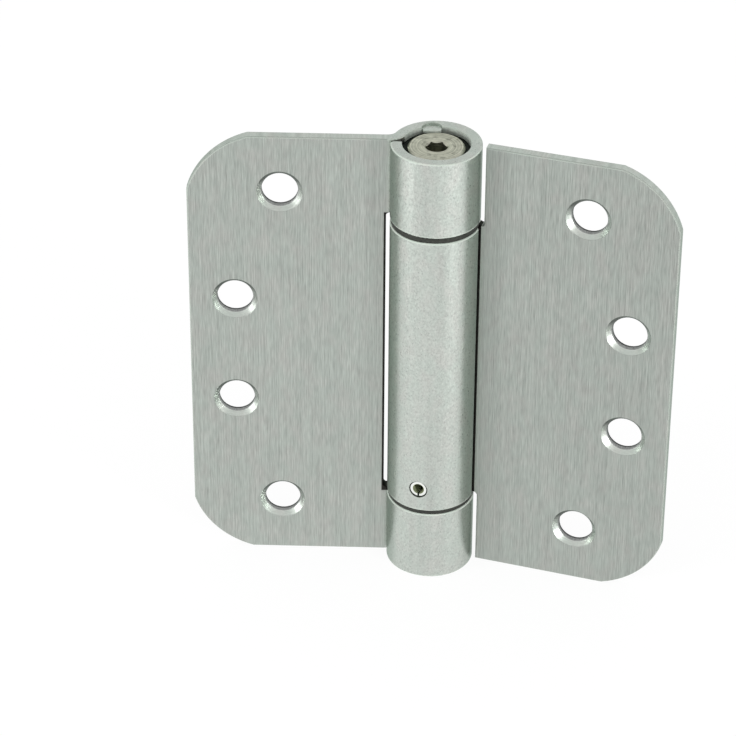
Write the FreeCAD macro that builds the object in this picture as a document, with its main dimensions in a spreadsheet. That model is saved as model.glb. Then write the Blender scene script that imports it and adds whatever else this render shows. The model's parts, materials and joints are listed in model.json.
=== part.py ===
import FreeCAD, Part
import os
import Sketcher

# Spring loaded door hinge, a full mortise butt hinge with a torsion spring in its barrel.
# The pin axis is Z and z = 0 is the bottom of the knuckles. The frame leaf points along -X.
# The faces that meet when the hinge is closed look along -Y when it is open.

doc = FreeCAD.newDocument("spring_hinge")

# Driving dimensions, millimetres and degrees

SIZES = {
    "leaf_height": 101.6,
    "leaf_width": 50.8,
    "sheet_thickness": 2.3,
    "corner_reach": 12.5,
    "corner_radius": 18.6,
    "edge_round": 0.3,
    "closed_gap": 1.6,
    "fold_angle": 16.0,
    "knuckle_radius": 9.3,
    "bend_radius": 3.0,
    "seam_gap": 0.4,
    "seam_round": 0.8,
    "top_knuckle_length": 17.1,
    "bottom_knuckle_length": 16.4,
    "top_washer_thickness": 1.2,
    "bottom_washer_thickness": 0.9,
    "washer_inset": 0.3,
    "window_clearance": 0.8,
    "notch_clearance": 0.8,
    "screw_hole_diameter": 7.5,
    "countersink_diameter": 9.5,
    "countersink_angle": 82.0,
    "outer_hole_margin": 19.0,
    "outer_hole_spacing": 76.3,
    "inner_hole_margin": 9.5,
    "inner_hole_spacing": 24.8,
    "seat_clearance": 0.02,
    "running_clearance": 0.05,
    "stop_clearance": 0.1,
    "stem_radius": 5.0,
    "stem_washer_clearance": 0.3,
    "head_radius": 5.85,
    "head_height": 4.0,
    "head_recess": 0.8,
    "head_chamfer": 0.4,
    "head_clearance": 0.1,
    "hex_width": 4.0,
    "hex_depth": 5.0,
    "hex_lead_in": 0.15,
    "press_travel": 2.4,
    "tooth_count": 12,
    "tooth_height": 2.0,
    "tooth_depth": 0.7,
    "tooth_width": 1.3,
    "tooth_clearance": 0.1,
    "collar_height": 4.0,
    "bush_recess": 1.6,
    "stake_diameter": 4.2,
    "stake_depth": 0.5,
    "stake_land": 0.8,
    "stake_overlap": 0.2,
    "stake_rim": 0.2,
    "stake_shift": 1.0,
    "top_bearing_length": 10.0,
    "shoulder_gap": 0.6,
    "wire_diameter": 2.0,
    "coil_radius": 5.4,
    "coil_pitch": 2.5,
    "mandrel_clearance": 0.2,
    "mandrel_length": 6.0,
    "tang_clearance": 0.15,
    "rod_radius": 2.0,
    "rod_floor": 1.65,
    "rod_engagement": 9.0,
    "rod_spare": 2.0,
    "plug_cover": 3.65,
    "stub_clearance": 0.8,
    "cap_thickness": 2.2,
    "cap_chamfer": 0.4,
    "pin_rise": 5.3,
    "pin_radius": 1.75,
    "pin_bore_radius": 1.2,
    "pin_slot": 0.4,
    "pin_recess": 0.3,
    "pin_hole_diameter": 4.0,
}

sheet = doc.addObject("Spreadsheet::Sheet", "sizes")
for row, (alias, size) in enumerate(SIZES.items(), start=1):
    sheet.set(f"A{row}", alias.replace("_", " "))
    sheet.set(f"B{row}", str(size))
    sheet.setAlias(f"B{row}", alias)
doc.recompute()

# Places that several pieces share, as expressions of the driving dimensions

FACE = "(sizes.closed_gap / 2)"
BACK = f"({FACE} + sizes.sheet_thickness)"
BORE = "(sizes.knuckle_radius - sizes.sheet_thickness)"
OVERSIZE = "(2 * sizes.knuckle_radius)"

BARREL_BOTTOM = "(sizes.bottom_knuckle_length + sizes.bottom_washer_thickness)"
TOP_KNUCKLE = "(sizes.leaf_height - sizes.top_knuckle_length)"
BARREL_TOP = f"({TOP_KNUCKLE} - sizes.top_washer_thickness)"

HEAD_TOP = "(sizes.leaf_height - sizes.head_recess)"
HEAD_FOOT = f"({HEAD_TOP} - sizes.head_height)"
COLLAR_TOP = f"({HEAD_FOOT} - sizes.press_travel - sizes.stop_clearance)"
COLLAR_FOOT = f"({COLLAR_TOP} - sizes.collar_height)"
TEETH_FOOT = f"({COLLAR_FOOT} + sizes.tooth_clearance)"
TOOTH_ROOT = "(sizes.stem_radius - sizes.tooth_depth)"
TOOTH_RADIUS = "(sizes.stem_radius + sizes.tooth_depth)"
NOTCH_RADIUS = f"({TOOTH_RADIUS} + sizes.tooth_clearance)"
STEM_BORE = "(sizes.stem_radius + sizes.running_clearance)"
SEATED = f"({BORE} - sizes.seat_clearance)"

BEARING_FOOT = f"({BARREL_TOP} - sizes.top_bearing_length)"
UPPER_SHOULDER = f"({BEARING_FOOT} - sizes.shoulder_gap)"
PIN_LEVEL = f"({BARREL_BOTTOM} + sizes.pin_rise)"
PIN_TOP = f"({PIN_LEVEL} + sizes.pin_radius)"
LOWER_SHOULDER = f"({PIN_TOP} + sizes.plug_cover)"
MANDREL = "(sizes.coil_radius - sizes.wire_diameter / 2 - sizes.mandrel_clearance)"
UPPER_MANDREL_END = f"({UPPER_SHOULDER} - sizes.mandrel_length)"
LOWER_MANDREL_END = f"({LOWER_SHOULDER} + sizes.mandrel_length)"
TANG_SLOT = "(sizes.wire_diameter + 2 * sizes.tang_clearance)"
TANG_TIP = "(sizes.rod_radius + sizes.tang_clearance)"
COIL_FOOT = f"({LOWER_SHOULDER} + sizes.wire_diameter / 2)"
COIL_TOP = f"({UPPER_SHOULDER} - sizes.wire_diameter / 2)"
ROD_FOOT = f"({PIN_TOP} + sizes.rod_floor)"
ROD_TOP = f"({UPPER_MANDREL_END} + sizes.rod_engagement)"
ROD_CEILING = f"({ROD_TOP} + sizes.press_travel + sizes.rod_spare)"
STUB_FOOT = "(sizes.cap_thickness + sizes.stub_clearance)"


# Distance in millimetres within which two places are the same

TINY = 1e-6


def value(expression):
    """the number that an expression of the sheet's sizes comes to"""
    answer = sheet.evalExpression(expression)
    return float(getattr(answer, "Value", answer))


def vector(point):
    return FreeCAD.Vector(value(point[0]), value(point[1]), 0)


# Helpers for bodies, sketches and features

def new_body(label, folds=False):
    """a body of its own; one on the barrel leaf's side is turned by the fold at which it lies"""
    body = doc.addObject("PartDesign::Body", label)
    body.Label = label
    if folds:
        body.Placement = FreeCAD.Placement(
            FreeCAD.Vector(), FreeCAD.Rotation(FreeCAD.Vector(0, 0, 1), -value("sizes.fold_angle"))
        )
        body.setExpression("Placement.Rotation.Angle", "-sizes.fold_angle")
    return body


def sketch_on(body, name, role, offset=None, turn=None):
    """a sketch on one of the body's own origin planes, moved along and turned about its normal"""
    sketch = body.newObject("Sketcher::SketchObject", name)
    origin_plane = next(f for f in body.Origin.OriginFeatures if f.Role == role)
    sketch.AttachmentSupport = (origin_plane, [""])
    sketch.MapMode = "FlatFace"
    if offset:
        sketch.setExpression("AttachmentOffset.Base.z", offset)
    if turn:
        sketch.AttachmentOffset = FreeCAD.Placement(
            FreeCAD.Vector(), FreeCAD.Rotation(FreeCAD.Vector(0, 0, 1), value(turn))
        )
        sketch.setExpression("AttachmentOffset.Rotation.Angle", turn)
    return sketch


def constrain(sketch, kind, *geometry, size):
    index = sketch.addConstraint(Sketcher.Constraint(kind, *geometry, value(size)))
    sketch.setExpression(f"Constraints[{index}]", size)


def pin_down(sketch, geometry, vertex, point):
    """hold a point of the sketch at two coordinates"""
    constrain(sketch, "DistanceX", -1, 1, geometry, vertex, size=point[0])
    constrain(sketch, "DistanceY", -1, 1, geometry, vertex, size=point[1])


def outline(sketch, corners, arcs=None):
    """closed outline through corners; arcs gives a side's radius and a point that it passes"""
    arcs = arcs or {}
    sides = []
    for number, corner in enumerate(corners):
        here = vector(corner)
        there = vector(corners[(number + 1) % len(corners)])
        first, last = 1, 2
        if number in arcs:
            radius, passes = arcs[number]
            side = sketch.addGeometry(Part.Arc(here, vector(passes), there))
            near = sketch.getPoint(side, 1).distanceToPoint(here)
            if near > sketch.getPoint(side, 2).distanceToPoint(here):
                first, last = 2, 1
            constrain(sketch, "Radius", side, size=radius)
        else:
            side = sketch.addGeometry(Part.LineSegment(here, there))
        sides.append((side, first, last))
    for number, (side, first, last) in enumerate(sides):
        pin_down(sketch, side, first, corners[number])
        following, start, _ = sides[(number + 1) % len(sides)]
        sketch.addConstraint(Sketcher.Constraint("Coincident", side, last, following, start))


def rectangle(sketch, low, high):
    outline(sketch, [low, (high[0], low[1]), high, (low[0], high[1])])


def circle(sketch, centre, radius):
    ring = sketch.addGeometry(Part.Circle(vector(centre), FreeCAD.Vector(0, 0, 1), value(radius)))
    pin_down(sketch, ring, 3, centre)
    constrain(sketch, "Radius", ring, size=radius)


def pad(body, sketch, length, both_ways=False, reverse=False):
    feature = body.newObject("PartDesign::Pad", f"{sketch.Name}_pad")
    feature.Profile = sketch
    feature.SideType = "Symmetric" if both_ways else "One side"
    feature.Reversed = reverse
    feature.setExpression("Length", length)
    doc.recompute()
    return feature


def pocket(body, sketch, depth, both_ways=False, reverse=False):
    """a cut that has to take something away"""
    before = body.Shape.Volume
    feature = body.newObject("PartDesign::Pocket", f"{sketch.Name}_cut")
    feature.Profile = sketch
    feature.SideType = "Symmetric" if both_ways else "One side"
    feature.Reversed = reverse
    feature.setExpression("Length", depth)
    doc.recompute()
    if not body.Shape.Volume < before:
        raise RuntimeError(f"{feature.Name} cuts nothing")
    return feature


def fillet(body, feature, edges, size):
    """round the feature's named edges by one of the sizes"""
    rounding = body.newObject("PartDesign::Fillet", f"{body.Label}_{size}")
    rounding.Base = (feature, edges)
    rounding.setExpression("Radius", f"sizes.{size}")
    doc.recompute()


def turned(label, profile, folds=False):
    """a turned piece: its half profile, as radius and height, spun about the pin axis"""
    body = new_body(label, folds)
    sketch = sketch_on(body, f"{label}_profile", "XZ_Plane")
    outline(sketch, profile)
    spin = body.newObject("PartDesign::Revolution", f"{label}_turned")
    spin.Profile = sketch
    spin.ReferenceAxis = (sketch, ["V_Axis"])
    spin.Angle = 360
    doc.recompute()
    return body


def around_axis(body, feature, count):
    """copies of a feature, evenly spaced about the pin axis"""
    pattern = body.newObject("PartDesign::PolarPattern", f"{feature.Name}_ring")
    pattern.Originals = [feature]
    pattern.Axis = (next(f for f in body.Origin.OriginFeatures if f.Role == "Z_Axis"), [""])
    pattern.Angle = 360
    pattern.setExpression("Occurrences", count)
    body.Tip = pattern
    doc.recompute()
    return pattern


# A leaf: one sheet, bent back and rolled into a knuckle, then trimmed and pierced

BEND_CENTRE_Y = f"({BACK} - sizes.sheet_thickness / 2 + sizes.bend_radius)"
BEND_CENTRE_RADIUS = "(sizes.knuckle_radius - sizes.sheet_thickness / 2 + sizes.bend_radius)"
BEND_REACH = f"sqrt({BEND_CENTRE_RADIUS} ^ 2 - {BEND_CENTRE_Y} ^ 2)"
BEND_OUTSIDE = "(sizes.bend_radius + sizes.sheet_thickness / 2)"
BEND_INSIDE = "(sizes.bend_radius - sizes.sheet_thickness / 2)"
HALF_BEND = f"acos({BEND_CENTRE_Y} / {BEND_CENTRE_RADIUS}) / 2"
SEAM_Y = f"({FACE} - sizes.seam_gap)"
SEAM_REACH = f"sqrt(sizes.knuckle_radius ^ 2 - {SEAM_Y} ^ 2)"


def rolled_sheet(body, side):
    """the leaf's section, along +X or -X as side says, over the whole height"""
    def roll_start(radius):
        share = f"{radius} / {BEND_CENTRE_RADIUS}"
        return (f"{side} * {BEND_REACH} * {share}", f"{BEND_CENTRE_Y} * {share}")

    def roll_end(radius):
        share = f"{radius} / sizes.knuckle_radius"
        return (f"{side} * {SEAM_REACH} * {share}", f"{SEAM_Y} * {share}")

    def mid_bend(radius):
        return (
            f"{side} * ({BEND_REACH} - {radius} * sin({HALF_BEND}))",
            f"{BEND_CENTRE_Y} - {radius} * cos({HALF_BEND})",
        )

    corners = [
        (f"{side} * sizes.leaf_width", FACE),
        (f"{side} * {BEND_REACH}", FACE),
        roll_start(BORE),
        roll_end(BORE),
        roll_end("sizes.knuckle_radius"),
        roll_start("sizes.knuckle_radius"),
        (f"{side} * {BEND_REACH}", BACK),
        (f"{side} * sizes.leaf_width", BACK),
    ]
    arcs = {
        1: (BEND_OUTSIDE, mid_bend(BEND_OUTSIDE)),
        2: (BORE, (f"-{side} * {BORE}", "0")),
        4: ("sizes.knuckle_radius", (f"-{side} * sizes.knuckle_radius", "0")),
        5: (BEND_INSIDE, mid_bend(BEND_INSIDE)),
    }
    section = sketch_on(body, f"{body.Label}_section", "XY_Plane")
    outline(section, corners, arcs)
    sheet_pad = pad(body, section, "sizes.leaf_height")
    tip = vector(roll_end("sizes.knuckle_radius"))
    names = [
        f"Edge{number}" for number, edge in enumerate(sheet_pad.Shape.Edges, start=1)
        if all(vertex.Point.projectToPlane(FreeCAD.Vector(), FreeCAD.Vector(0, 0, 1)).isEqual(tip, TINY)
               for vertex in edge.Vertexes)
    ]
    fillet(body, sheet_pad, names, "seam_round")


def round_corners(body, side):
    """trim the leaf's two free corners to an arc that meets each edge at a slight angle"""
    bulge = "(sizes.corner_radius - sqrt(sizes.corner_radius ^ 2 - sizes.corner_reach ^ 2 / 2))"
    middle = f"(sizes.corner_reach / 2 - {bulge} / sqrt(2))"
    for name, edge, outward in (("top", "sizes.leaf_height", 1), ("bottom", "0", -1)):
        sketch = sketch_on(body, f"{body.Label}_{name}_corner", "XZ_Plane")
        reach = f"{side} * (sizes.leaf_width - sizes.corner_reach)"
        rise = f"{edge} - {outward} * sizes.corner_reach"
        beyond_x = f"{side} * (sizes.leaf_width + sizes.sheet_thickness)"
        beyond_z = f"{edge} + {outward} * sizes.sheet_thickness"
        corners = [
            (reach, edge),
            (f"{side} * sizes.leaf_width", rise),
            (beyond_x, rise),
            (beyond_x, beyond_z),
            (reach, beyond_z),
        ]
        passes = (
            f"{side} * (sizes.leaf_width - {middle})",
            f"{edge} - {outward} * {middle}",
        )
        outline(sketch, corners, {0: ("sizes.corner_radius", passes)})
        pocket(body, sketch, OVERSIZE, both_ways=True)


def screw_holes(body, side):
    """four countersunk holes, two near the knuckle and two near the free edge"""
    sketch = sketch_on(body, f"{body.Label}_screw_holes", "XZ_Plane", f"-{FACE}")
    for pair in ("outer_hole", "inner_hole"):
        reach = f"{side} * (sizes.leaf_width - sizes.{pair}_margin)"
        for way in (-1, 1):
            level = f"sizes.leaf_height / 2 + {way} * sizes.{pair}_spacing / 2"
            circle(sketch, (reach, level), "sizes.screw_hole_diameter / 2")
    before = body.Shape.Volume
    hole = body.newObject("PartDesign::Hole", f"{body.Label}_holes")
    hole.Profile = sketch
    doc.recompute()
    hole.DepthType = "ThroughAll"
    hole.HoleCutType = "Countersink"
    hole.HoleCutCustomValues = True
    hole.setExpression("Diameter", "sizes.screw_hole_diameter")
    hole.setExpression("HoleCutDiameter", "sizes.countersink_diameter")
    hole.setExpression("HoleCutCountersinkAngle", "sizes.countersink_angle")
    doc.recompute()
    if not body.Shape.Volume < before:
        raise RuntimeError(f"{hole.Name} cuts nothing")


def break_edges(body):
    """round the sheared edges of the plate, front and back, and the knuckle rims they run into"""
    plate = body.Tip
    start = value(BEND_REACH)
    levels = (value(FACE), value(BACK))
    names = []
    for number, edge in enumerate(plate.Shape.Edges, start=1):
        box = edge.BoundBox
        in_plane = box.YLength < TINY and min(abs(box.YMin - level) for level in levels) < TINY
        nearest = min(abs(box.XMin), abs(box.XMax))
        at_bend = box.XLength < TINY and abs(nearest - start) < TINY
        if in_plane and nearest > start - TINY and not at_bend and not edge.isClosed():
            names.append(f"Edge{number}")
    fillet(body, plate, names, "edge_round")


def rounded(centre_x, centre_z, radius, way):
    """the arc of an inside corner that lies on the diagonal way from its centre"""
    return (radius, (
        f"{centre_x} + {way[0]} * {radius} / sqrt(2)",
        f"{centre_z} + {way[1]} * {radius} / sqrt(2)",
    ))


def frame_leaf():
    """the leaf for the door frame, with the top and the bottom knuckle"""
    body = new_body("frame_leaf")
    rolled_sheet(body, -1)
    window = sketch_on(body, "barrel_window", "XZ_Plane")
    clearance = "sizes.window_clearance"
    edge = f"-(sizes.knuckle_radius + {clearance})"
    low = f"(sizes.bottom_knuckle_length + {clearance})"
    high = f"({TOP_KNUCKLE} - {clearance})"
    corners = [
        ("-sizes.knuckle_radius", "sizes.bottom_knuckle_length"),
        (OVERSIZE, "sizes.bottom_knuckle_length"),
        (OVERSIZE, TOP_KNUCKLE),
        ("-sizes.knuckle_radius", TOP_KNUCKLE),
        (edge, high),
        (edge, low),
    ]
    outline(window, corners, {
        3: rounded("-sizes.knuckle_radius", high, clearance, (-1, 1)),
        5: rounded("-sizes.knuckle_radius", low, clearance, (-1, -1)),
    })
    pocket(body, window, f"2 * {OVERSIZE}", both_ways=True)
    round_corners(body, -1)
    screw_holes(body, -1)
    break_edges(body)
    stake(body)


def stake(body):
    """a half-moon punch mark at the back of the top knuckle, whose metal laps the adjuster's rim"""
    radius = "sizes.stake_diameter / 2"
    middle, depth = "-sizes.stake_shift", f"(sizes.knuckle_radius - sizes.stake_land - {radius})"
    floor = "(sizes.leaf_height - sizes.stake_depth)"
    lip_foot = f"({HEAD_TOP} - sizes.head_chamfer + sizes.stake_overlap + sizes.running_clearance)"
    lip = sketch_on(body, "stake_lip", "XY_Plane", lip_foot)
    lip_radius = f"({radius} - sizes.stake_rim)"
    reach = "(sizes.head_radius - sizes.stake_overlap)"
    half_width = f"sqrt({lip_radius} ^ 2 - ({depth} - {reach}) ^ 2)"
    ends = [(f"{middle} - {half_width}", reach), (f"{middle} + {half_width}", reach)]
    outline(lip, ends, {1: (lip_radius, (middle, f"{depth} + {lip_radius}"))})
    pad(body, lip, f"{floor} - {lip_foot}")
    mark = sketch_on(body, "stake_mark", "XY_Plane", "sizes.leaf_height")
    circle(mark, (middle, depth), radius)
    pocket(body, mark, "sizes.stake_depth")


def notch(body, name, barrel_end, beyond, outward):
    """room for a knuckle of the other leaf, past the barrel's end"""
    sketch = sketch_on(body, f"{name}_notch", "XZ_Plane")
    clearance = "sizes.notch_clearance"
    edge = f"(sizes.knuckle_radius + {clearance})"
    level = f"{barrel_end} + {outward} * {clearance}"
    corners = [
        (f"-{OVERSIZE}", barrel_end),
        ("sizes.knuckle_radius", barrel_end),
        (edge, level),
        (edge, beyond),
        (f"-{OVERSIZE}", beyond),
    ]
    outline(sketch, corners, {1: rounded("sizes.knuckle_radius", level, clearance, (1, -outward))})
    pocket(body, sketch, f"2 * {OVERSIZE}", both_ways=True)


def barrel_leaf():
    """the leaf for the door, with the long barrel between the knuckles"""
    body = new_body("barrel_leaf", folds=True)
    rolled_sheet(body, 1)
    notch(body, "bottom", BARREL_BOTTOM, "-sizes.sheet_thickness", -1)
    notch(body, "top", BARREL_TOP, "(sizes.leaf_height + sizes.sheet_thickness)", 1)
    round_corners(body, 1)
    screw_holes(body, 1)
    break_edges(body)
    pin_hole = sketch_on(body, "pin_hole", "XZ_Plane")
    circle(pin_hole, ("0", PIN_LEVEL), "sizes.pin_hole_diameter / 2")
    pocket(body, pin_hole, OVERSIZE, reverse=True)


# The top knuckle: a toothed bush fixed in it, and the adjuster whose teeth lock in the bush

def lock_bush():
    """bush with a pocket for the head, a notched collar and a chamber under it"""
    top = "(sizes.leaf_height - sizes.bush_recess)"
    pocket_radius = "(sizes.head_radius + sizes.head_clearance)"
    chamber_radius = f"({NOTCH_RADIUS} + sizes.tooth_clearance)"
    body = turned("lock_bush", [
        (SEATED, TOP_KNUCKLE),
        (SEATED, top),
        (pocket_radius, top),
        (pocket_radius, COLLAR_TOP),
        (STEM_BORE, COLLAR_TOP),
        (STEM_BORE, COLLAR_FOOT),
        (chamber_radius, COLLAR_FOOT),
        (chamber_radius, TOP_KNUCKLE),
    ])
    seat = sketch_on(body, "tooth_seat", "XY_Plane", COLLAR_FOOT)
    half = "(sizes.tooth_width / 2 + sizes.tooth_clearance)"
    rectangle(seat, (TOOTH_ROOT, f"-{half}"), (NOTCH_RADIUS, half))
    around_axis(body, pocket(body, seat, "sizes.collar_height", reverse=True), "sizes.tooth_count")


def tension_adjuster():
    """head with a hex socket, stem that turns in the barrel, and mandrel that holds the spring"""
    body = turned("tension_adjuster", [
        ("0", ROD_CEILING),
        ("sizes.rod_radius + sizes.running_clearance", ROD_CEILING),
        ("sizes.rod_radius + sizes.running_clearance", UPPER_MANDREL_END),
        (MANDREL, UPPER_MANDREL_END),
        (MANDREL, UPPER_SHOULDER),
        ("sizes.stem_radius", UPPER_SHOULDER),
        ("sizes.stem_radius", HEAD_FOOT),
        ("sizes.head_radius", HEAD_FOOT),
        ("sizes.head_radius", f"{HEAD_TOP} - sizes.head_chamfer"),
        ("sizes.head_radius - sizes.head_chamfer", HEAD_TOP),
        ("0", HEAD_TOP),
    ])
    slot = sketch_on(body, "upper_tang_slot", "XY_Plane", UPPER_MANDREL_END)
    rectangle(slot, (f"-{OVERSIZE}", f"-{TANG_SLOT} / 2"), (OVERSIZE, f"{TANG_SLOT} / 2"))
    pocket(body, slot, "sizes.mandrel_length", reverse=True)
    tooth = sketch_on(body, "lock_tooth", "XY_Plane", TEETH_FOOT)
    half = "sizes.tooth_width / 2"
    rectangle(tooth, (TOOTH_ROOT, f"-{half}"), (TOOTH_RADIUS, half))
    around_axis(body, pad(body, tooth, "sizes.tooth_height"), "sizes.tooth_count")
    hexagon(body)


def hexagon(body):
    """the socket for a hex key, corners to left and right, with a turned lead-in"""
    across = "(sizes.hex_width / sqrt(3))"
    half = "sizes.hex_width / 2"
    socket = sketch_on(body, "hex_socket", "XY_Plane", HEAD_TOP)
    outline(socket, [
        (across, "0"),
        (f"{across} / 2", half),
        (f"-{across} / 2", half),
        (f"-{across}", "0"),
        (f"-{across} / 2", f"-{half}"),
        (f"{across} / 2", f"-{half}"),
    ])
    pocket(body, socket, "sizes.hex_depth")
    lead_in = sketch_on(body, "hex_lead_in", "XZ_Plane")
    outline(lead_in, [
        ("0", HEAD_TOP),
        (f"{across} + sizes.hex_lead_in", HEAD_TOP),
        ("0", f"{HEAD_TOP} - {across} - sizes.hex_lead_in"),
    ])
    groove(body, lead_in)


def groove(body, sketch):
    before = body.Shape.Volume
    feature = body.newObject("PartDesign::Groove", f"{sketch.Name}_cut")
    feature.Profile = sketch
    feature.ReferenceAxis = (sketch, ["V_Axis"])
    feature.Angle = 360
    doc.recompute()
    if not body.Shape.Volume < before:
        raise RuntimeError(f"{feature.Name} cuts nothing")


def ring(label, inner, outer, foot, top, folds=False):
    """a plain bush or washer"""
    return turned(label, [(inner, foot), (outer, foot), (outer, top), (inner, top)], folds)


# The spring and the plug that the roll pin fixes in the barrel

def torsion_spring():
    """whole turns of wire between the two shoulders, with a tang bent inwards at each end"""
    body = new_body("torsion_spring")
    wire = "sizes.wire_diameter / 2"
    section = sketch_on(body, "wire_section", "XZ_Plane")
    circle(section, ("sizes.coil_radius", COIL_FOOT), wire)
    coil = body.newObject("PartDesign::AdditiveHelix", "coil")
    coil.Profile = section
    coil.ReferenceAxis = (section, ["V_Axis"])
    coil.Mode = "height-turns-angle"
    coil.setExpression("Height", f"{COIL_TOP} - {COIL_FOOT}")
    coil.setExpression("Turns", f"floor(({COIL_TOP} - {COIL_FOOT}) / sizes.coil_pitch)")
    doc.recompute()
    for name, level in (("lower", COIL_FOOT), ("upper", COIL_TOP)):
        tang = sketch_on(body, f"{name}_tang", "YZ_Plane", TANG_TIP)
        circle(tang, ("0", level), wire)
        pad(body, tang, f"sizes.coil_radius - {TANG_TIP}")


def lower_plug():
    """plug in the barrel: mandrel above for the spring, stub below that turns in the knuckle"""
    body = turned("lower_plug", [
        ("0", STUB_FOOT),
        ("sizes.stem_radius", STUB_FOOT),
        ("sizes.stem_radius", BARREL_BOTTOM),
        (SEATED, BARREL_BOTTOM),
        (SEATED, LOWER_SHOULDER),
        (MANDREL, LOWER_SHOULDER),
        (MANDREL, LOWER_MANDREL_END),
        ("sizes.rod_radius + sizes.seat_clearance", LOWER_MANDREL_END),
        ("sizes.rod_radius + sizes.seat_clearance", ROD_FOOT),
        ("0", ROD_FOOT),
    ], folds=True)
    slot = sketch_on(body, "lower_tang_slot", "XY_Plane", LOWER_SHOULDER, turn="sizes.fold_angle")
    rectangle(slot, (f"-{OVERSIZE}", f"-{TANG_SLOT} / 2"), (OVERSIZE, f"{TANG_SLOT} / 2"))
    pocket(body, slot, "sizes.mandrel_length", reverse=True)
    cross_hole = sketch_on(body, "cross_hole", "XZ_Plane")
    circle(cross_hole, ("0", PIN_LEVEL), "sizes.pin_radius + sizes.seat_clearance")
    pocket(body, cross_hole, f"2 * {OVERSIZE}", both_ways=True)


def roll_pin():
    """slotted spring pin, from just inside the barrel's front to just inside its back wall"""
    body = new_body("roll_pin", folds=True)
    tube = sketch_on(body, "pin_section", "XZ_Plane", "sizes.knuckle_radius - sizes.pin_recess")
    centre = ("0", PIN_LEVEL)
    circle(tube, centre, "sizes.pin_radius")
    circle(tube, centre, "sizes.pin_bore_radius")
    beyond_axis = f"(sqrt({BORE} ^ 2 - sizes.pin_radius ^ 2) - sizes.stop_clearance)"
    pad(body, tube, f"sizes.knuckle_radius - sizes.pin_recess + {beyond_axis}", reverse=True)
    slot = sketch_on(body, "pin_slot", "XZ_Plane", "sizes.knuckle_radius")
    half = "sizes.pin_slot / 2"
    foot = f"{PIN_LEVEL} - sizes.pin_radius - sizes.pin_slot"
    rectangle(slot, (f"-{half}", foot), (half, PIN_LEVEL))
    pocket(body, slot, f"2 * {OVERSIZE}")


def bottom_cap():
    """disc that closes the bottom knuckle, flush with its end"""
    turned("bottom_cap", [
        ("0", "0"),
        (f"{SEATED} - sizes.cap_chamfer", "0"),
        (SEATED, "sizes.cap_chamfer"),
        (SEATED, "sizes.cap_thickness"),
        ("0", "sizes.cap_thickness"),
    ])


frame_leaf()
barrel_leaf()
lock_bush()
tension_adjuster()
washer_bore = "sizes.stem_radius + sizes.stem_washer_clearance"
washer_rim = "sizes.knuckle_radius - sizes.washer_inset"
ring("top_washer", washer_bore, washer_rim, BARREL_TOP, TOP_KNUCKLE)
ring("top_bearing", STEM_BORE, SEATED, BEARING_FOOT, BARREL_TOP, folds=True)
torsion_spring()
ring("guide_rod", "0", "sizes.rod_radius", ROD_FOOT, ROD_TOP, folds=True)
lower_plug()
roll_pin()
ring("bottom_washer", washer_bore, washer_rim, "sizes.bottom_knuckle_length", BARREL_BOTTOM)
ring("bottom_bearing", STEM_BORE, SEATED, "sizes.cap_thickness", "sizes.bottom_knuckle_length")
bottom_cap()
doc.recompute()

# Nothing is written unless every object and every solid is sound

for item in doc.Objects:
    if "Invalid" in item.State or "Error" in item.State:
        raise RuntimeError(f"{item.Label} failed: {item.State}")
bodies = [item for item in doc.Objects if item.TypeId == "PartDesign::Body"]
for body in bodies:
    if body.Shape.isNull() or not body.Shape.isValid() or len(body.Shape.Solids) != 1:
        raise RuntimeError(f"{body.Label} is not one sound solid")

os.makedirs("parts", exist_ok=True)
for body in bodies:
    body.Shape.exportStep(f"parts/{body.Label}.step")
    print(body.Label, round(body.Shape.Volume, 1), "cubic millimetres")
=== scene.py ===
# %% [markdown]
# # A spring loaded door hinge, dressed for its picture
# The hinge comes in as a fixed frame of thirteen sound pieces: two leaves of sheet steel rolled
# round one pin axis, the adjuster in the top knuckle, two thin washers, the roll pin, and the spring
# with its rod, plug, bush, bearings and end cap. Every piece stays where the frame has it. This file
# gives the pieces their finishes, winds the spring again from its wire, and lights the hinge.

# %% Load the frame
import json
import math
import bmesh
import bpy
from mathutils import Matrix, Vector


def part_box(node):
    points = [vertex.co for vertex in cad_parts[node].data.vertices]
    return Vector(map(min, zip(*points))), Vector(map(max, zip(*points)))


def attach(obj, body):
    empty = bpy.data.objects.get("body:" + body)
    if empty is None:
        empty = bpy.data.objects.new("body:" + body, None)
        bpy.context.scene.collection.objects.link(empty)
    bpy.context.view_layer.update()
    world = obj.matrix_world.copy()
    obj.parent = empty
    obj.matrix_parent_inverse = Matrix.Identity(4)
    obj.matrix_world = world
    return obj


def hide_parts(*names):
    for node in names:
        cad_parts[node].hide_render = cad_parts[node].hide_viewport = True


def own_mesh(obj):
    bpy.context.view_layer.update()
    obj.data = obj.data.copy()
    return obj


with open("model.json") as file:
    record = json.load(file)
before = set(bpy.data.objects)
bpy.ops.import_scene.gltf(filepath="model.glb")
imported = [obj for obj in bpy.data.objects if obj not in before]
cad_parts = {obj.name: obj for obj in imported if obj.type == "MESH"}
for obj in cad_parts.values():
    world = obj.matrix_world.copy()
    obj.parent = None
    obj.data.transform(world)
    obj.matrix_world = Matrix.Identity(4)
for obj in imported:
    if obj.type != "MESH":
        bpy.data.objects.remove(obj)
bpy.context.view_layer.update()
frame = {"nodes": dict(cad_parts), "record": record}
nodes = frame["nodes"]
print("pieces in the frame:", len(nodes))

# %% [markdown]
# ## Places read from the frame
# Nothing is measured twice. The pin axis is Z, the frame leaf lies along -X, and the door leaf is
# folded towards the viewer. Its fold is the upper limit of the swing, because that limit is the
# hinge opened flat. The knuckles are all of the frame leaf that lies beyond the pin axis, so its box
# gives their radius.

# %% Read the places
MM = 0.001


def joint_named(name):
    return next(joint for joint in frame["record"]["behaviour"]["joints"] if joint["name"] == name)


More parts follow.
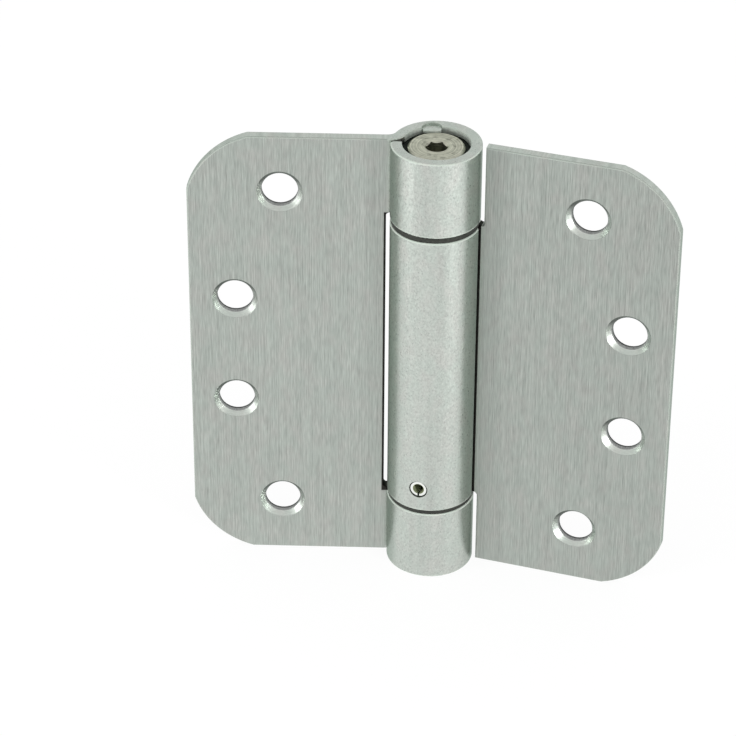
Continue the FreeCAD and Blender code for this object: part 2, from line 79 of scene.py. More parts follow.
FOLD = math.radians(max(joint_named("leaf_swing")["range_deg"]))
LEAF_LOW, LEAF_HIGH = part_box("frame_leaf")
KNUCKLE_RADIUS = LEAF_HIGH.x
print(f"fold {math.degrees(FOLD):.1f} degrees, knuckle radius {KNUCKLE_RADIUS / MM:.2f} mm")

# %% [markdown]
# ## The camera
# The picture was taken from above and in front, about seven tenths of a metre away, with a long
# lens, so both leaves look nearly flat. The camera aims a little to the left of the pin axis and
# looks down by 33 degrees. It is rolled by a third of a degree, as the picture is.

# %% Aim the camera
AIM = Vector((-13.54, 0.0, 47.22)) * MM
SIGHT = Vector((-0.02364, 0.83834, -0.54464)).normalized()
DISTANCE = 694.85 * MM
ROLL = math.radians(0.33)
LENS = 161.9
SENSOR_WIDTH = 36.0
NEAREST_SEEN = 50 * MM

camera_data = bpy.data.cameras.new("camera")
camera_data.lens = LENS
camera_data.sensor_width = SENSOR_WIDTH
camera_data.clip_start = NEAREST_SEEN
camera = bpy.data.objects.new("camera", camera_data)
bpy.context.scene.collection.objects.link(camera)
camera.location = AIM - SIGHT * DISTANCE
camera.rotation_mode = "QUATERNION"
upright = SIGHT.to_track_quat("-Z", "Y")
camera.rotation_quaternion = upright @ Matrix.Rotation(ROLL, 3, "Z").to_quaternion()
bpy.context.scene.camera = camera
print("camera at", [round(value / MM, 1) for value in camera.location], "mm")

# %% [markdown]
# ## Nodes by hand
# A finish is a small tree of nodes on the piece's own coordinates, so it stays sharp at any size and
# moves with the piece. The helpers here keep the trees readable: one starts a material with an empty
# tree, one adds a node, sets it up and wires in whatever feeds it, and the others stand for the few
# nodes that every finish uses.

# %% Node helpers
def add(tree, kind, feeds=None, **settings):
    """a node of this kind; feeds gives each named input a number, a colour or another node's output"""
    made = tree.nodes.new(kind)
    for name, setting in settings.items():
        setattr(made, name, setting)
    for name, feed in (feeds or {}).items():
        if isinstance(feed, bpy.types.NodeSocket):
            tree.links.new(feed, made.inputs[name])
        else:
            made.inputs[name].default_value = feed
    return made


def new_material(name):
    material = bpy.data.materials.new(name)
    material.use_nodes = True
    material.node_tree.nodes.clear()
    return material, material.node_tree


def close(tree, shader):
    """wire the last shader to the output"""
    add(tree, "ShaderNodeOutputMaterial", {"Surface": shader})


def noise(tree, coordinates, sizes, detail=3.0, rough=0.55):
    """grain whose lumps have these sizes along x, y and z"""
    stretched = add(tree, "ShaderNodeMapping", {
        "Vector": coordinates,
        "Scale": tuple(1 / size for size in sizes),
    }).outputs["Vector"]
    return add(tree, "ShaderNodeTexNoise", {
        "Vector": stretched, "Scale": 1.0, "Detail": detail, "Roughness": rough,
    }).outputs["Fac"]


def ramp(tree, value, low, high, start=0.0, end=1.0, smooth=False):
    """value carried from low..high to start..end and held there"""
    return add(tree, "ShaderNodeMapRange", {
        "Value": value, "From Min": low, "From Max": high, "To Min": start, "To Max": end,
    }, interpolation_type="SMOOTHSTEP" if smooth else "LINEAR").outputs["Result"]


def maths(tree, operation, first, second=0.0):
    made = add(tree, "ShaderNodeMath", operation=operation)
    for socket, feed in zip(made.inputs, (first, second)):
        if isinstance(feed, bpy.types.NodeSocket):
            tree.links.new(feed, socket)
        else:
            socket.default_value = feed
    return made.outputs["Value"]


def blend(tree, share, first, second, kind="RGBA"):
    """first where share is 0, second where it is 1"""
    made = add(tree, "ShaderNodeMix", data_type=kind)
    for name, feed in (("Factor", share), ("A", first), ("B", second)):
        socket = next(s for s in made.inputs if s.name == name and s.enabled)
        if isinstance(feed, bpy.types.NodeSocket):
            tree.links.new(feed, socket)
        else:
            socket.default_value = feed
    return next(s for s in made.outputs if s.enabled)


def grey(level, tint=(1.0, 1.0, 1.0)):
    return (level * tint[0], level * tint[1], level * tint[2], 1.0)


print("node helpers are ready")

# %% [markdown]
# ## Finishes in layers
# One sheet of steel carries several finishes: brushed on the flat, satin on the roll, bare where it
# was cut. Painting each on its own mesh would split the sheet, so a finish is kept as three values,
# colour, roughness and height, and a mask lays one finish over another. A plated metal seen aslant
# goes dark and a little green here, which the shader's edge tint gives.

# %% Layers of finish
EDGE_TINT = (0.92, 1.04, 0.96)


def layer(tree, mask, under, over):
    """the finish over laid on the finish under where the mask is 1"""
    return (blend(tree, mask, under[0], over[0]),
            blend(tree, mask, under[1], over[1], "FLOAT"),
            blend(tree, mask, under[2], over[2], "FLOAT"))


def either_side(tree, grain, share, low=0.3, high=0.7):
    """a tone from -share to share, as the grain goes from low to high"""
    return ramp(tree, grain, low, high, -share, share)


def toned(tree, colour, tone):
    """the colour made lighter or darker by a tone, a share either side of 0"""
    return add(tree, "ShaderNodeHueSaturation", {
        "Color": colour, "Value": maths(tree, "ADD", tone, 1.0), "Saturation": 1.0, "Fac": 1.0,
    }).outputs["Color"]


def metal(tree, finish, bump_depth, edge=0.55):
    """close the tree with a metal that has this finish; edge is how bright it stays when seen aslant"""
    colour, roughness, height = finish
    bump = add(tree, "ShaderNodeBump", {
        "Height": height, "Strength": 1.0, "Distance": bump_depth,
    }).outputs["Normal"]
    shader = add(tree, "ShaderNodeBsdfPrincipled", {
        "Base Color": colour, "Metallic": 1.0, "Roughness": roughness, "Normal": bump,
        "Specular Tint": grey(edge, EDGE_TINT),
    })
    close(tree, shader.outputs["BSDF"])


print("layers are ready")

# %% [markdown]
# ## The brushed flat
# The flats were drawn over a belt, up and down. The lines are about a tenth of a millimetre wide,
# some under three millimetres long and some twenty. Two noises stretched along Z draw them, and a
# slow one lets the plating drift between a greener and a warmer grey, as it does on the real sheet.
# The leaf is painted a shade lighter at its foot and darker at its top, as painted light and shade.

# %% Brushed flat
GREENER = (0.945, 1.028, 0.950, 1.0)
WARMER = (0.985, 1.02, 0.955, 1.0)
DRIFT = (3.0 * MM, 3.0 * MM, 5.0 * MM)
SHORT_LINES = (0.11 * MM, 0.11 * MM, 2.6 * MM)
LONG_LINES = (0.13 * MM, 0.13 * MM, 20.0 * MM)
PAINTED_SHADE_HEIGHT = 100 * MM


def plating(tree, place, level):
    """the colour of the plate at this level of grey, drifting between two greys"""
    drift = noise(tree, place, DRIFT)
    tint = blend(tree, ramp(tree, drift, 0.4, 0.7), GREENER, WARMER)
    return add(tree, "ShaderNodeVectorMath", {0: tint, 1: (level, level, level)},
               operation="MULTIPLY").outputs["Vector"]


def brushed_flat(tree, place, height, shade):
    lines = noise(tree, place, SHORT_LINES, detail=1.0, rough=0.5)
    draws = noise(tree, place, LONG_LINES, detail=1.0, rough=0.5)
    brushing = maths(tree, "ADD",
                     either_side(tree, lines, 0.16, 0.25, 0.75),
                     either_side(tree, draws, 0.15, 0.25, 0.75))
    # painted light and shade: lighter at the foot, darker at the top
    painted_light_and_shade = ramp(tree, height, 0.0, PAINTED_SHADE_HEIGHT, 0.04, -0.05)
    colour = toned(tree, plating(tree, place, shade), maths(tree, "ADD", brushing, painted_light_and_shade))
    return (colour, ramp(tree, lines, 0.3, 0.7, 0.36, 0.46), lines)


print("the flat is brushed, with lines of", round(LONG_LINES[2] / MM), "mm")

# %% [markdown]
# ## The rolled knuckles
# Rolling scuffs the plating, so the knuckles and the barrel are brighter and finely mottled, with
# faint flats along the pin where the rolls pressed. A picture of scuffed steel would show its seam
# round a barrel, so small round noise gives the mottle and a noise drawn out along Z gives the
# flats. The bore was never touched by a tool and stays dull.

# %% Rolled satin
MOTTLE = (0.36 * MM, 0.36 * MM, 0.5 * MM)
FLATS = (2.6 * MM, 2.6 * MM, 90.0 * MM)
MOTTLE_HEIGHT = 0.35
BORE_GRAIN = (0.6 * MM, 0.6 * MM, 0.6 * MM)
ROLLED_SHADE = 0.52
BORE_SHADE = 0.60


def rolled_satin(tree, place):
    mottle = noise(tree, place, MOTTLE, rough=0.65)
    flats = noise(tree, place, FLATS, detail=2.0, rough=0.5)
    tone = maths(tree, "ADD",
                 either_side(tree, mottle, 0.17, 0.25, 0.75),
                 either_side(tree, flats, 0.06))
    colour = toned(tree, plating(tree, place, ROLLED_SHADE), tone)
    roughness = ramp(tree, mottle, 0.3, 0.7, 0.26, 0.38)
    return (colour, roughness, maths(tree, "MULTIPLY", mottle, MOTTLE_HEIGHT))


def rolled_bore(tree, place):
    """the inside of the roll: dull, so it takes light from the open end"""
    grain = noise(tree, place, BORE_GRAIN, detail=2.0)
    colour = toned(tree, plating(tree, place, BORE_SHADE), either_side(tree, grain, 0.1))
    return (colour, 0.7, grain)


print("the roll is satin, and its mottle is", round(MOTTLE[0] / MM, 2), "mm wide")

# %% [markdown]
# ## Screw holes
# Four holes in each leaf are countersunk. What a finish needs to know is how far a point lies from
# the nearest hole's axis. The holes lie in pairs, as far above the leaf's middle as below it, and
# the frame's mounts give each pair's reach from the pin and its spacing. So no place is typed here.

# %% Screw holes from the mounts
COUNTERSINK = 4.75 * MM
HOLE_RADIUS = 3.75 * MM
FAR_AWAY = 1.0
# painted shade: where on each countersink's upper side the painted shade starts and is full, and how
# strong it is
UPPER_SHADE_START = 0.5 * MM
UPPER_SHADE_FULL = 2.5 * MM
UPPER_SHADE_SHARE = 0.8

SCREW_PAIRS = [
    (abs(mount["pos_m"][0]), mount["pos_m"][2], mount["dims"]["spacing_y_mm"] / 2 * MM)
    for mount in frame["record"]["mounts"]
    if mount["name"].startswith("frame_leaf_") and "hole_r_mm" in mount["dims"]
]


def radius_of(tree, first, second):
    return maths(tree, "SQRT", maths(tree, "ADD",
                                     maths(tree, "MULTIPLY", first, first),
                                     maths(tree, "MULTIPLY", second, second)))


def from_hole(tree, across, level):
    """distance from the axis of the nearest screw hole, and a mask of painted shade on the upper half of
    each countersink
    """
    nearest = FAR_AWAY
    upper = 0.0
    for reach, middle, half in SCREW_PAIRS:
        rise = maths(tree, "SUBTRACT", level, middle)
        above = maths(tree, "SUBTRACT", maths(tree, "ABSOLUTE", rise), half)
        beside = maths(tree, "SUBTRACT", maths(tree, "ABSOLUTE", across), reach)
        distance = radius_of(tree, beside, above)
        nearest = maths(tree, "MINIMUM", nearest, distance)
        inside = ramp(tree, distance, COUNTERSINK, COUNTERSINK + 0.05 * MM, 1.0, 0.0)
        lift = maths(tree, "MULTIPLY", above, maths(tree, "SIGN", rise))
        lifted = ramp(tree, lift, UPPER_SHADE_START, UPPER_SHADE_FULL, 0.0, UPPER_SHADE_SHARE)
        upper = maths(tree, "MAXIMUM", upper, maths(tree, "MULTIPLY", inside, lifted))
    return nearest, upper


print("screw pairs, reach and half spacing in mm:",
      [(round(reach / MM, 1), round(half / MM, 1)) for reach, middle, half in SCREW_PAIRS])

# %% [markdown]
# ## Cut edges and countersinks
# The outline was punched and the countersinks were turned after brushing, so both are bright steel.
# The tool left rings in the countersinks, which follow the distance from the hole's own axis. Behind
# the countersink the punch left a dull wall, black where it tore, and painted darker as shade in the
# hole; the upper side of each countersink is painted near black as painted shade. The sharp rims were
# tumbled round. The edge that was sheared out for the other leaf's barrel is painted nearly black, as
# painted shade from that barrel.

# %% Cut steel
TOOL_RINGS = (0.45 * MM, 1.0, 1.0)
RING_HEIGHT = 0.6
CUT_GRAIN = (0.8 * MM, 0.3 * MM, 0.8 * MM)
CUT_SHADE = 0.52
BARREL_SHADE_GRAIN = (0.3 * MM, 0.3 * MM, 1.5 * MM)
LAND_GRAIN = (0.25 * MM, 0.6 * MM, 0.25 * MM)
NO_GRAIN = 0.5


def cut_steel(tree, place, off_hole):
    path = add(tree, "ShaderNodeCombineXYZ", {"X": off_hole, "Y": 0.0, "Z": 0.0}).outputs["Vector"]
    rings = noise(tree, path, TOOL_RINGS, detail=2.0)
    grain = noise(tree, place, CUT_GRAIN, detail=2.0)
    tone = maths(tree, "ADD", either_side(tree, rings, 0.13), either_side(tree, grain, 0.06))
    colour = toned(tree, plating(tree, place, CUT_SHADE), tone)
    roughness = ramp(tree, grain, 0.3, 0.7, 0.28, 0.40)
    return (colour, roughness, maths(tree, "MULTIPLY", rings, RING_HEIGHT))


def broken_edge(tree, place, shade):
    """a rim that was tumbled round, too dull to mirror a lamp"""
    return (plating(tree, place, shade), 0.85, NO_GRAIN)


# painted shade: the barrel's shade on the cut edge beside it, painted nearly black
def painted_barrel_shade(tree, place):
    """painted shade: the cut edge beside the barrel, painted nearly black where the barrel shades it"""
    grain = noise(tree, place, BARREL_SHADE_GRAIN)
    colour = blend(tree, ramp(tree, grain, 0.3, 0.7), grey(0.018), grey(0.05, (1.0, 0.95, 0.85)))
    return (colour, 0.55, grain)


def punched_land(tree, place, tear_and_painted_shade):
    """the wall of a screw hole behind the countersink: dull and painted darker as shade in the hole, and
    black where it tore; the upper side of each countersink is painted near black as painted shade
    """
    grain = noise(tree, place, LAND_GRAIN, detail=2.0)
    dull = blend(tree, ramp(tree, grain, 0.3, 0.7), grey(0.20), grey(0.36, (0.97, 1.0, 0.97)))
    return (blend(tree, tear_and_painted_shade, dull, grey(0.06)), 0.5, grain)


print("cut steel is ready, with tool rings", round(TOOL_RINGS[0] / MM, 2), "mm apart")

# %% [markdown]
# ## Where each finish lies
# Masks in the leaf's own frame say where each finish lies. A leaf's front face is 0.8 mm behind the
# pin axis and its back face a sheet's thickness behind that. What is deeper than a tenth of a
# millimetre under both faces is cut, and what lies in the edge's round is rim. The flat ends where
# the roll starts, which the distance from the pin axis tells. A countersink's upper side is painted
# near black as painted shade, with the same mask as the part of the hole's wall that tore.

# %% Masks on a leaf
SHEET = 2.3 * MM
FACE = 0.8 * MM
EDGE_ROUND = 0.30 * MM
RIM_START = 0.015 * MM
ROLL_ENDS = [LEAF_LOW.z, LEAF_HIGH.z] + [
    corner.z for washer in ("bottom_washer", "top_washer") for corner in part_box(washer)
]


def between(tree, value, low, high, soft):
    """1 from low to high, fading over a soft width outside"""
    return maths(tree, "MULTIPLY",
                 ramp(tree, value, low - soft, low, 0.0, 1.0, smooth=True),
                 ramp(tree, value, high, high + soft, 1.0, 0.0, smooth=True))


def on_roll(tree, off_pin):
    return ramp(tree, off_pin, KNUCKLE_RADIUS + 0.1 * MM, KNUCKLE_RADIUS + 0.9 * MM, 1.0, 0.0, smooth=True)


def in_bore(tree, off_pin):
    bore_radius = KNUCKLE_RADIUS - SHEET
    return ramp(tree, off_pin, bore_radius + 0.03 * MM, bore_radius + 0.07 * MM, 1.0, 0.0)


def on_cut(tree, depth):
    return between(tree, depth, FACE + 0.12 * MM, FACE + SHEET - 0.12 * MM, 0.06 * MM)


# the hole's wall, and as painted shade the upper side of each countersink
def on_hole_wall(tree, depth, off_hole, upper):
    land = ramp(tree, off_hole, HOLE_RADIUS + 0.08 * MM, HOLE_RADIUS + 0.16 * MM, 1.0, 0.0, smooth=True)
    under_face = ramp(tree, depth, FACE, FACE + 0.1 * MM)
    return maths(tree, "MULTIPLY", maths(tree, "MAXIMUM", land, upper), under_face)


# painted shade on the upper side of each countersink, and the part of the hole's wall that tore
def on_tear_and_painted_shade(tree, depth, upper):
    return maths(tree, "MAXIMUM", upper, ramp(tree, depth, FACE + 1.75 * MM, FACE + 1.95 * MM))


def on_leaf_rim(tree, depth, off_hole):
    off_middle = maths(tree, "ABSOLUTE", maths(tree, "SUBTRACT", depth, FACE + SHEET / 2))
    in_round = between(tree, off_middle, SHEET / 2 - EDGE_ROUND, SHEET / 2 - RIM_START, 0.01 * MM)
    off_countersink = ramp(tree, off_hole, COUNTERSINK + 0.1 * MM, COUNTERSINK + 0.2 * MM)
    return maths(tree, "MULTIPLY", in_round, off_countersink)


def on_roll_rim(tree, level, rolled):
    """the rims at the ends of the knuckles and of the barrel"""
    nearest = FAR_AWAY
    for end in ROLL_ENDS:
        off_end = maths(tree, "ABSOLUTE", maths(tree, "SUBTRACT", level, end))
        nearest = maths(tree, "MINIMUM", nearest, off_end)
    return maths(tree, "MULTIPLY", rolled, between(tree, nearest, RIM_START, EDGE_ROUND, 0.01 * MM))


# painted shade: a mask of the strip beside the barrel that is painted nearly black
def on_painted_barrel_shade(tree, across, depth, level, strip):
    """the strip's span is across and then up"""
    beside_barrel = between(tree, across, strip[0], strip[1], 0.06 * MM)
    along_barrel = between(tree, level, strip[2], strip[3], 0.3 * MM)
    behind_pin = ramp(tree, depth, 0.45 * MM, 0.55 * MM)
    return maths(tree, "MULTIPLY", beside_barrel, maths(tree, "MULTIPLY", along_barrel, behind_pin))


print("the rolls end at", [round(end / MM, 1) for end in ROLL_ENDS], "mm")

# %% [markdown]
# ## Satin plate, put together
# The finishes are laid over one another in the order in which the real ones were made: the sheet is
# brushed, punched, tumbled and rolled. The two leaves could share one material, but the door leaf is
# turned by the fold, so each has its own turn, and it meets the light at another angle, so its grey
# is painted darker than the frame leaf's as painted shade.

# %% Satin plate for the leaves
LEAF_RIM_SHADE = 0.44
ROLL_RIM_SHADE = 0.58
FRAME_SHADE = 0.410
# painted shade: the door leaf's grey is darker because it meets the light at another angle
DOOR_GREY_WITH_PAINTED_SHADE = 0.375
# painted shade: where each leaf's cut edge beside the barrel is painted nearly black, across and then up
FRAME_BARREL_SHADOW = (-10.50 * MM, -9.2 * MM, 15.6 * MM, 84.5 * MM)
DOOR_BARREL_SHADOW = (8.8 * MM, 9.5 * MM, 16.6 * MM, 84.2 * MM)
PLATE_BUMP = 0.012 * MM


def satin_plate(name, turn, shade, strip):
    """the finish of a leaf turned by this angle, with a strip of painted shade beside the barrel"""
    material, tree = new_material(name)
    place = add(tree, "ShaderNodeTexCoord").outputs["Object"]
    own = add(tree, "ShaderNodeMapping", {"Vector": place, "Rotation": (0, 0, turn)}).outputs["Vector"]
    axes = add(tree, "ShaderNodeSeparateXYZ", {"Vector": own})
    across, depth, level = axes.outputs["X"], axes.outputs["Y"], axes.outputs["Z"]
    off_pin = radius_of(tree, across, depth)
    off_hole, upper = from_hole(tree, across, level)
    rolled = on_roll(tree, off_pin)
    tear_and_painted_shade = on_tear_and_painted_shade(tree, depth, upper)
    finish = brushed_flat(tree, own, level, shade)
    for mask, over in (
        (on_cut(tree, depth), cut_steel(tree, own, off_hole)),
        (on_hole_wall(tree, depth, off_hole, upper), punched_land(tree, own, tear_and_painted_shade)),
        (on_leaf_rim(tree, depth, off_hole), broken_edge(tree, own, LEAF_RIM_SHADE)),
        (rolled, rolled_satin(tree, own)),
        (in_bore(tree, off_pin), rolled_bore(tree, own)),
        (on_roll_rim(tree, level, rolled), broken_edge(tree, own, ROLL_RIM_SHADE)),
        # painted shade: the cut edge beside the barrel, painted nearly black
        (on_painted_barrel_shade(tree, across, depth, level, strip), painted_barrel_shade(tree, own)),
    ):
        finish = layer(tree, mask, finish, over)
    metal(tree, finish, PLATE_BUMP)
    return material


frame_plate = satin_plate("frame_leaf_satin", 0.0, FRAME_SHADE, FRAME_BARREL_SHADOW)
door_plate = satin_plate("door_leaf_satin", FOLD, DOOR_GREY_WITH_PAINTED_SHADE, DOOR_BARREL_SHADOW)
print("made", frame_plate.name, "and", door_plate.name)

# %% [markdown]
# ## Turned and drawn steel
# The adjuster, rod and plug are bar steel, turned and left unplated, so they are warmer and greyer
# than the leaves, with fine rings round the axis from the tool and a few dark stains. The rings
# follow the distance from the axis on a face and the height on a side, so one noise over both values
# draws them. The bush is blackened and the spring's wire is drawn, with fainter marks.

# %% Turned steel
STAINS = (1.6 * MM, 1.6 * MM, 1.6 * MM)
SPOTS = (1.1 * MM, 1.1 * MM, 1.1 * MM)
TURNED_BUMP = 0.008 * MM
TURNED_EDGE = 0.8
WARM_STEEL = (0.430, 0.430, 0.355, 1.0)


def turned_finish(tree, place, colour, roughness, ring_size, marks):
    """marks is how strongly rings, stains and spots show"""
    axes = add(tree, "ShaderNodeSeparateXYZ", {"Vector": place})
    radius = radius_of(tree, axes.outputs["X"], axes.outputs["Y"])
    path = add(tree, "ShaderNodeCombineXYZ", {
        "X": radius, "Y": 0.0, "Z": axes.outputs["Z"],
    }).outputs["Vector"]
    rings = noise(tree, path, (ring_size, ring_size, ring_size), detail=2.0, rough=0.5)
    stain = noise(tree, place, STAINS)
    spots = noise(tree, place, SPOTS, detail=5.0)
    tone = maths(tree, "ADD", either_side(tree, rings, marks * 2), either_side(tree, stain, marks))
    tone = maths(tree, "SUBTRACT", tone, ramp(tree, spots, 0.55, 0.68, 0.0, marks * 2.5))
    dulled = ramp(tree, stain, 0.3, 0.7, roughness + 0.05, roughness - 0.05)
    return (toned(tree, colour, tone), dulled, rings)


def turned_steel(name, colour, roughness, ring_size=0.2 * MM, marks=0.04):
    material, tree = new_material(name)
    place = add(tree, "ShaderNodeTexCoord").outputs["Object"]
    finish = turned_finish(tree, place, colour, roughness, ring_size, marks)
    metal(tree, finish, TURNED_BUMP, edge=TURNED_EDGE)
    return material


bare_steel = turned_steel("bare_steel_turned", WARM_STEEL, 0.38, ring_size=0.3 * MM, marks=0.15)
black_oxide = turned_steel("black_oxide", grey(0.02, (0.94, 1.04, 0.96)), 0.60)
spring_steel = turned_steel("spring_steel", grey(0.20, (1.0, 1.0, 1.03)), 0.35)
print("made", bare_steel.name, black_oxide.name, "and", spring_steel.name)

# %% [markdown]
# ## The roll pin
# The pin is a rolled strip of bright steel, driven in across the barrel, and its hollow is a dull
# dark olive. The two could be told apart by painting faces, but the pin lies along a radius of the
# barrel, so the distance from that line tells the bright ring from the hollow, however the pin is meshed.

# %% Roll pin steel
PIN_HOLLOW = 1.2 * MM
PIN_GRAIN = (0.4 * MM, 0.4 * MM, 0.4 * MM)
PIN_BUMP = 0.004 * MM
HOLLOW_OLIVE = (0.34, 0.37, 0.24, 1.0)


def slotted_pin(name):
    low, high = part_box("roll_pin")
    middle = (low + high) / 2
    along = Vector((middle.x, middle.y, 0)).normalized()
    material, tree = new_material(name)
    place = add(tree, "ShaderNodeTexCoord").outputs["Object"]
    axes = add(tree, "ShaderNodeSeparateXYZ", {"Vector": place})
    aside = maths(tree, "SUBTRACT",
                  maths(tree, "MULTIPLY", axes.outputs["X"], along.y),
                  maths(tree, "MULTIPLY", axes.outputs["Y"], along.x))
    radius = radius_of(tree, aside, maths(tree, "SUBTRACT", axes.outputs["Z"], middle.z))
    hollow = ramp(tree, radius, PIN_HOLLOW + 0.02 * MM, PIN_HOLLOW + 0.08 * MM, 1.0, 0.0)
    grain = noise(tree, place, PIN_GRAIN, detail=2.0)
    bright = (grey(0.90, (0.98, 1.0, 0.96)), 0.30, grain)
    hollow_finish = (HOLLOW_OLIVE, 0.9, grain)
    metal(tree, layer(tree, hollow, bright, hollow_finish), PIN_BUMP, edge=TURNED_EDGE)
    return material


pin_steel = slotted_pin("pin_steel_bright")
print("made", pin_steel.name)

# %% [markdown]
# ## Black nylon
# The washers and bearings are moulded nylon. One flat black would turn the washers into two drawn
# lines. The real nylon is not a pure black: light catches a fine grain on its rim, so one noise lets
# the colour, the roughness and the height wander a little.

# %% Nylon
NYLON_GRAIN = (0.5 * MM, 0.5 * MM, 0.25 * MM)
NYLON_BUMP = 0.02 * MM


def black_nylon(name):
    material, tree = new_material(name)
    place = add(tree, "ShaderNodeTexCoord").outputs["Object"]
    grain = noise(tree, place, NYLON_GRAIN, detail=4.0)
    colour = blend(tree, ramp(tree, grain, 0.3, 0.7), grey(0.010), grey(0.030, (0.95, 1.0, 0.90)))
    bump = add(tree, "ShaderNodeBump", {
        "Height": grain, "Strength": 0.3, "Distance": NYLON_BUMP,
    }).outputs["Normal"]
    shader = add(tree, "ShaderNodeBsdfPrincipled", {
        "Base Color": colour, "Roughness": ramp(tree, grain, 0.3, 0.7, 0.42, 0.58), "Normal": bump,
        "Specular IOR Level": 0.24, "Specular Tint": grey(1.0, (0.92, 1.0, 0.84)),
    })
    close(tree, shader.outputs["BSDF"])
    return material


nylon = black_nylon("black_nylon_moulded")
print("made", nylon.name)

# %% [markdown]
# ## The spring, wound again
# The spring in the barrel is two millimetre wire, wound seventeen turns. It could be a curve with a
# round bevel, or a screw modifier on a circle. A spin that climbs as it turns says most plainly what
# winding does: one round section is carried round the pin axis, and every step lifts it a little.
# At each end the wire is bent in towards the rod as a short tang.

# %% Wind the spring
WIRE_RADIUS = 1.0 * MM
WIRE_SIDES = 16
COIL_RADIUS = 5.4 * MM
TURNS = 17
STEPS_A_TURN = 40
TANG_TIP = 2.15 * MM
SPRING_LOW, SPRING_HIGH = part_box("torsion_spring")
COIL_FOOT = SPRING_LOW.z + WIRE_RADIUS
COIL_TOP = SPRING_HIGH.z - WIRE_RADIUS


def wire_section(mesh, place, facing):
    """the faces of a section of the wire, round and looking along facing"""
    turn = facing.to_track_quat("Z", "Y").to_matrix().to_4x4()
    ring = bmesh.ops.create_circle(
        mesh, cap_ends=True, segments=WIRE_SIDES, radius=WIRE_RADIUS,
        matrix=Matrix.Translation(place) @ turn,
    )["verts"]
    return list({face for vert in ring for face in vert.link_faces})


def wind(mesh):
    start = wire_section(mesh, Vector((COIL_RADIUS, 0, COIL_FOOT)), Vector((0, -1, 0)))
    steps = TURNS * STEPS_A_TURN
    bmesh.ops.spin(
        mesh, geom=start, cent=(0, 0, 0), axis=(0, 0, 1), angle=TURNS * 2 * math.pi,
        dvec=(0, 0, (COIL_TOP - COIL_FOOT) / steps), steps=steps, use_merge=False, use_duplicate=False,
    )


def tang(mesh, level):
    """the straight end that runs in towards the rod"""
    section = wire_section(mesh, Vector((COIL_RADIUS, 0, level)), Vector((1, 0, 0)))
    drawn = bmesh.ops.extrude_face_region(mesh, geom=section, use_keep_orig=True)["geom"]
    tip = [item for item in drawn if isinstance(item, bmesh.types.BMVert)]
    bmesh.ops.translate(mesh, verts=tip, vec=(TANG_TIP - COIL_RADIUS, 0, 0))


spring_mesh = bmesh.new()
wind(spring_mesh)
for level in (COIL_FOOT, COIL_TOP):
    tang(spring_mesh, level)
print("wound", TURNS, "turns in", len(spring_mesh.faces), "faces")

# %% [markdown]
# ## The spring in its place
# The wound spring stands for the frame's own spring, which has far more faces than anyone can see.
# Its lower end stands in the plug, so it rides on the door leaf.

# %% Put the spring in
SHARP_FROM = math.radians(40)


def finished(mesh, name, finish):
    """an object of this mesh, at the origin, smooth but for its sharp edges"""
    bmesh.ops.recalc_face_normals(mesh, faces=mesh.faces)
    for face in mesh.faces:
        face.smooth = True
    data = bpy.data.meshes.new(name)
    mesh.to_mesh(data)
    mesh.free()
    data.set_sharp_from_angle(angle=SHARP_FROM)
    data.materials.append(finish)
    piece = bpy.data.objects.new(name, data)
    bpy.context.scene.collection.objects.link(piece)
    return piece


wound_spring = finished(spring_mesh, "wound_spring", spring_steel)
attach(wound_spring, "door")
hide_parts("torsion_spring")

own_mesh(wound_spring)

# %% [markdown]
# ## Dress the frame's pieces
# Each piece of the frame keeps its mesh and gets its finish in its one material slot. A table of
# names and finishes says it at a glance. The end cap has the frame leaf's own plate, because it is
# cut from the same sheet and pressed into that leaf's knuckle.

# %% Give each piece its finish
FINISHES = {
    "frame_leaf": frame_plate,
    "barrel_leaf": door_plate,
    "bottom_cap": frame_plate,
    "tension_adjuster": bare_steel,
    "guide_rod": bare_steel,
    "lower_plug": bare_steel,
    "lock_bush": black_oxide,
    "torsion_spring": spring_steel,
    "roll_pin": pin_steel,
    "top_washer": nylon,
    "bottom_washer": nylon,
    "top_bearing": nylon,
    "bottom_bearing": nylon,
}
for name, finish in FINISHES.items():
    nodes[name].data.materials.clear()
    nodes[name].data.materials.append(finish)
print("dressed", len(FINISHES), "pieces")

# %% [markdown]
# ## The floor
# The hinge stands on a white floor that runs on behind it. To the eye and to the metal the floor is
# nearly all its own white, and the rest is lit, so a soft shadow stays under the leaves. A floor that
# was only lit would need a lamp so strong that it washed out the steel.

# %% White floor
FLOOR_REACH = 3.0
FLOOR_OWN_WHITE = 0.90
FLOOR_PAINT = 0.95


def seen_or_mirrored(tree):
    """1 for a ray from the camera, from a mirror or through glass"""
    path = add(tree, "ShaderNodeLightPath")
    first = maths(tree, "MAXIMUM", path.outputs["Is Camera Ray"], path.outputs["Is Glossy Ray"])
    return maths(tree, "MAXIMUM", first, path.outputs["Is Transmission Ray"])


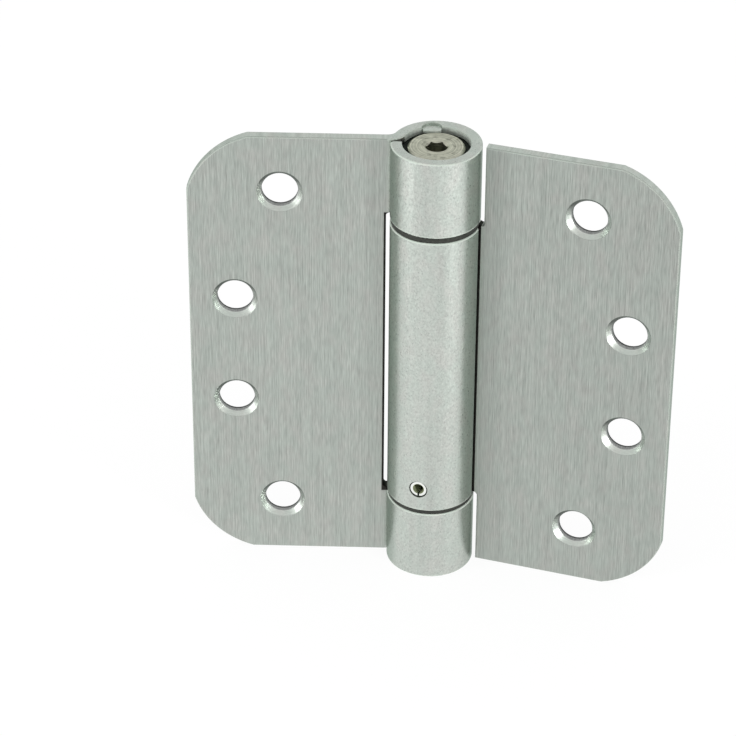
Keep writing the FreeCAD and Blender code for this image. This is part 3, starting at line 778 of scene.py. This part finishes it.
def white_floor():
    mesh = bmesh.new()
    bmesh.ops.create_grid(mesh, x_segments=1, y_segments=1, size=FLOOR_REACH)
    data = bpy.data.meshes.new("floor")
    mesh.to_mesh(data)
    mesh.free()
    floor = bpy.data.objects.new("floor", data)
    bpy.context.scene.collection.objects.link(floor)
    material, tree = new_material("white_sweep")
    lit = add(tree, "ShaderNodeBsdfDiffuse", {"Color": grey(FLOOR_PAINT)}).outputs["BSDF"]
    own = add(tree, "ShaderNodeEmission", {"Color": grey(1.0), "Strength": 1.0}).outputs["Emission"]
    share = maths(tree, "MULTIPLY", seen_or_mirrored(tree), FLOOR_OWN_WHITE)
    close(tree, add(tree, "ShaderNodeMixShader", {0: share, 1: lit, 2: own}).outputs["Shader"])
    data.materials.append(material)


white_floor()
print("the floor reaches", FLOOR_REACH, "m each way")

# %% [markdown]
# ## Sky and lamps
# A plain white sky lights the hinge from all round. Alone it would leave the rolled steel without
# form, so an upright strip of light stands on either side, in front. Each strip is mirrored in the
# knuckles and the barrel as one of the two soft upright bands that the picture shows.

# %% Sky and lamps
def white_sky():
    world = bpy.data.worlds.new("white_sky")
    world.use_nodes = True
    tree = world.node_tree
    tree.nodes.clear()
    sky = add(tree, "ShaderNodeBackground", {"Color": grey(1.0), "Strength": 1.0})
    add(tree, "ShaderNodeOutputWorld", {"Surface": sky.outputs["Background"]})
    bpy.context.scene.world = world


def lamp(name, place, width, height, power):
    """an area lamp of this many watts that faces the point at which the camera aims"""
    data = bpy.data.lights.new(name, "AREA")
    data.shape = "RECTANGLE"
    data.size = width
    data.size_y = height
    data.energy = power
    light = bpy.data.objects.new(name, data)
    bpy.context.scene.collection.objects.link(light)
    light.location = place
    light.rotation_mode = "QUATERNION"
    light.rotation_quaternion = (AIM - light.location).to_track_quat("-Z", "Y")
    print(name, "stands", round((AIM - light.location).length, 2), "m away")


white_sky()
lamp("left_strip", Vector((-0.75, -0.39, 0.10)), width=0.21, height=0.18, power=5.6)
lamp("right_strip", Vector((0.60, -0.60, 0.10)), width=0.12, height=0.18, power=5.6)
bpy.context.scene.view_settings.view_transform = "Standard"
